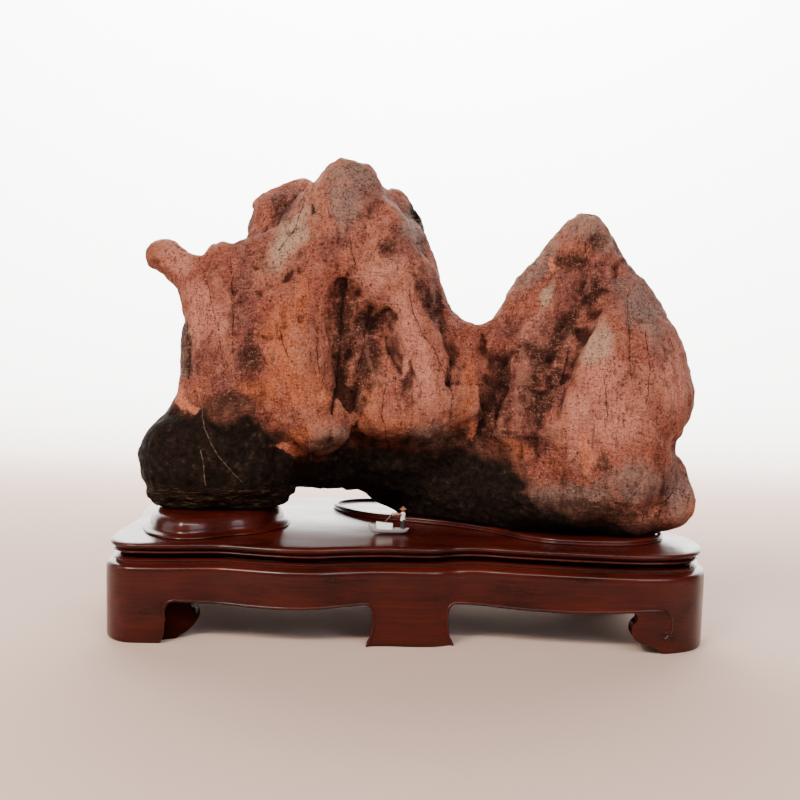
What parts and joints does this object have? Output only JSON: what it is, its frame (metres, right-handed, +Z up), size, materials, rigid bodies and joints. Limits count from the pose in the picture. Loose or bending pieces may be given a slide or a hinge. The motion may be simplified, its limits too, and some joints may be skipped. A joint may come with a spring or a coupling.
{
  "type": "scholars rock on a carved stand",
  "caption": "Weathered viewing stone with two peaks, a horn and an arch underneath, standing on a carved hardwood stand with a miniature boat and boatman.",
  "frame": {"origin": "on the table, under the middle of the whole object's box", "axes": "+X to the right along the stand's long side, seen from the front, +Y to the back, +Z up"},
  "size_m": [0.5112, 0.2426, 0.4092],
  "materials": {
    "stone": "natural weathered skin, lightly waxed, red-brown with purple bands, ochre patches and a black foot",
    "redwood": "dark red hardwood, gloss lacquer",
    "grey_glaze": "dark grey glaze with a pale rim",
    "white_glaze": "white glaze, painted",
    "bamboo": "thin brown cane"
  },
  "bodies": {
    "root": {"rock": "stone", "left_seat": "redwood", "main_seat_rim": "redwood", "stand_board": "redwood", "stand_waist": "redwood", "apron_front": "redwood", "apron_back": "redwood", "apron_left": "redwood", "apron_right": "redwood", "leg_front_left": "redwood", "leg_front_right": "redwood", "leg_back_left": "redwood", "leg_back_right": "redwood", "boat_hull": "grey_glaze", "boat_cabin": "white_glaze", "boatman": "white_glaze", "boat_pole": "bamboo"}
  },
  "joints": []
}
